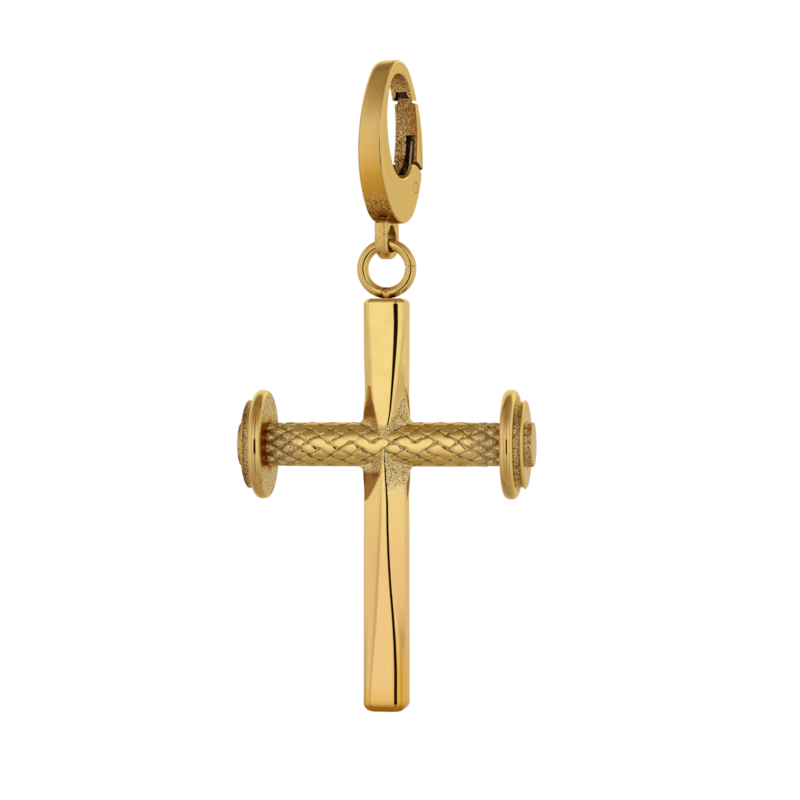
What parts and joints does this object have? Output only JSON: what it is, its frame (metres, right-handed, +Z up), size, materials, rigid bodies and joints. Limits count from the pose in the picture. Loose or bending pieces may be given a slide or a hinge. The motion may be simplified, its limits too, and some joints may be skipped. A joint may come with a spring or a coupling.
{
  "type": "cross pendant",
  "caption": "Cross pendant with a faceted upright, a scaled round crossbar ending in stepped discs, and an oval clasp with a sprung gate.",
  "frame": {"origin": "the spot on the clasp's inner top that rests on the chain or ring the pendant hangs from", "axes": "+Z up, -Y the way the front of the cross faces, +X along the crossbar to the wearer's left; the clasp is turned almost edge on to the cross"},
  "size_m": [0.0324, 0.0128, 0.0711],
  "materials": {
    "clasp_gold": "polished gold plate, sandy and darkened inside the loop and at the bail's root",
    "gate_gold": "polished gold plate outside, sandy and darkened on the inner side",
    "pin_gold": "gold plate, ground flush",
    "spring_steel": "bare spring wire",
    "ring_gold": "polished gold plate",
    "cross_gold": "mirror polished gold plate, darkened between the scales and in the sandy pockets by the crossing",
    "head_gold": "polished gold plate on rims and steps, sandy between them"
  },
  "bodies": {
    "clasp": {"clasp_body": "clasp_gold", "gate_pin": "pin_gold"},
    "gate": {"gate": "gate_gold", "gate_spring": "spring_steel"},
    "cross": {"jump_ring": "ring_gold", "cross_body": "cross_gold", "left_head": "head_gold", "right_head": "head_gold"}
  },
  "joints": [
    {"name": "gate_hinge", "type": "hinge", "parent": "clasp", "child": "gate", "pos_m": [0.00114, 0.00417, -0.012], "axis": [0.9646, -0.2639, 0], "range_deg": [0, 24], "stiffness_Nm_per_rad": 0.001},
    {"name": "cross_swing", "type": "hinge", "parent": "clasp", "child": "cross", "pos_m": [0, 0, -0.01845], "axis": [1, 0, 0], "range_deg": [-75, 75]}
  ]
}
